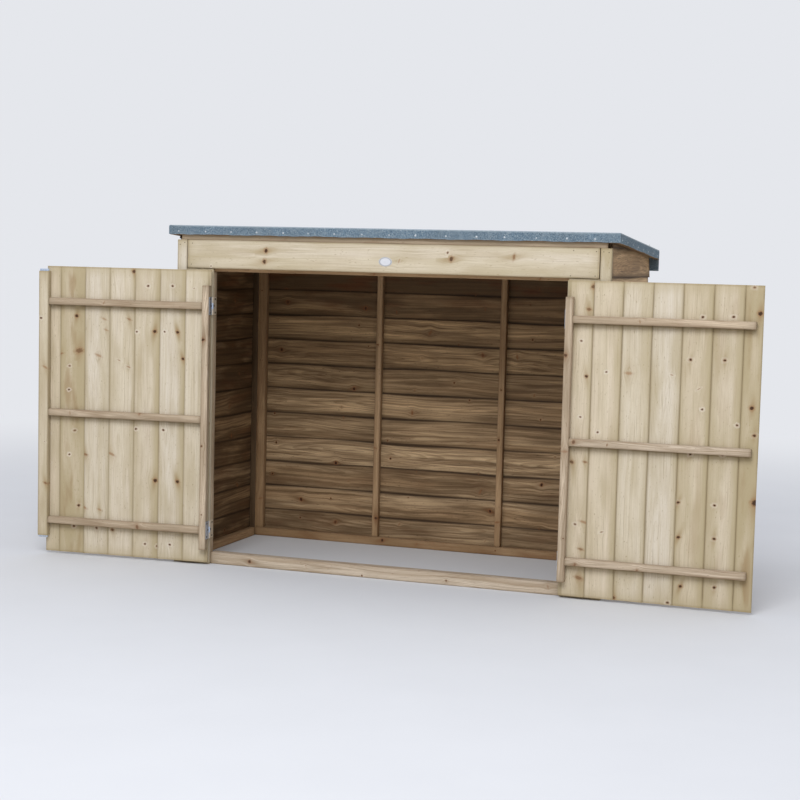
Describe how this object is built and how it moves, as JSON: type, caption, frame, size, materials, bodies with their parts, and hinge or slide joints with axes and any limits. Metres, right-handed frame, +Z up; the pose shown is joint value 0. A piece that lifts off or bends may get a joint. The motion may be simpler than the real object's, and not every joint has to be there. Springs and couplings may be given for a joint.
{
  "type": "bike shelter",
  "caption": "Pent timber bike store of lapped softwood boards with a felted roof, no floor and side-hung double doors that swing wide open.",
  "frame": {"origin": "on the ground, at the middle of the sill's underside", "axes": "+X runs along the front to the right as seen from the front, +Y runs to the back, +Z is up"},
  "size_m": [3.1025, 0.9462, 1.457],
  "materials": {
    "front_wood": "planed pressure-treated pine, matt",
    "wall_wood": "rough-sawn pressure-treated pine, matt",
    "deck_wood": "rough-sawn boards, matt",
    "felt": "blue-grey mineral roofing felt",
    "zinc": "zinc-plated steel"
  },
  "bodies": {
    "shed": {"sill": "front_wood", "header_rail": "front_wood", "fascia_board": "front_wood", "front_top_rail": "front_wood", "left_jamb_post": "front_wood", "right_jamb_post": "front_wood", "left_front_panel": "front_wood", "right_front_panel": "front_wood", "left_corner_trim": "front_wood", "right_corner_trim": "front_wood", "left_side_cladding": "wall_wood", "right_side_cladding": "wall_wood", "left_side_battens": "wall_wood", "right_side_battens": "wall_wood", "left_side_rails": "wall_wood", "right_side_rails": "wall_wood", "back_cladding": "wall_wood", "back_battens": "wall_wood", "back_rails": "wall_wood", "roof_deck": "deck_wood", "roof_front_batten": "front_wood", "roof_side_battens": "front_wood", "roof_felt": "felt", "felt_back_flap": "felt", "left_hinge_frame_leaves": "zinc", "right_hinge_frame_leaves": "zinc"},
    "left_door": {"left_door_boards": "front_wood", "left_door_hinge_batten": "front_wood", "left_door_ledges": "front_wood", "left_door_cover_strip": "front_wood", "left_door_bolts": "zinc", "left_hinge_door_leaves": "zinc", "left_door_bolt_keep": "zinc"},
    "right_door": {"right_door_boards": "front_wood", "right_door_hinge_batten": "front_wood", "right_door_ledges": "front_wood", "right_hinge_door_leaves": "zinc", "right_door_pad_bolt": "zinc"}
  },
  "joints": [
    {"name": "left_door_hinge", "type": "hinge", "parent": "shed", "child": "left_door", "pos_m": [-0.772, -0.045, 0], "axis": [0, 0, 1], "range_deg": [-4, 176]},
    {"name": "right_door_hinge", "type": "hinge", "parent": "shed", "child": "right_door", "pos_m": [0.772, -0.045, 0], "axis": [0, 0, -1], "range_deg": [0, 180]}
  ]
}
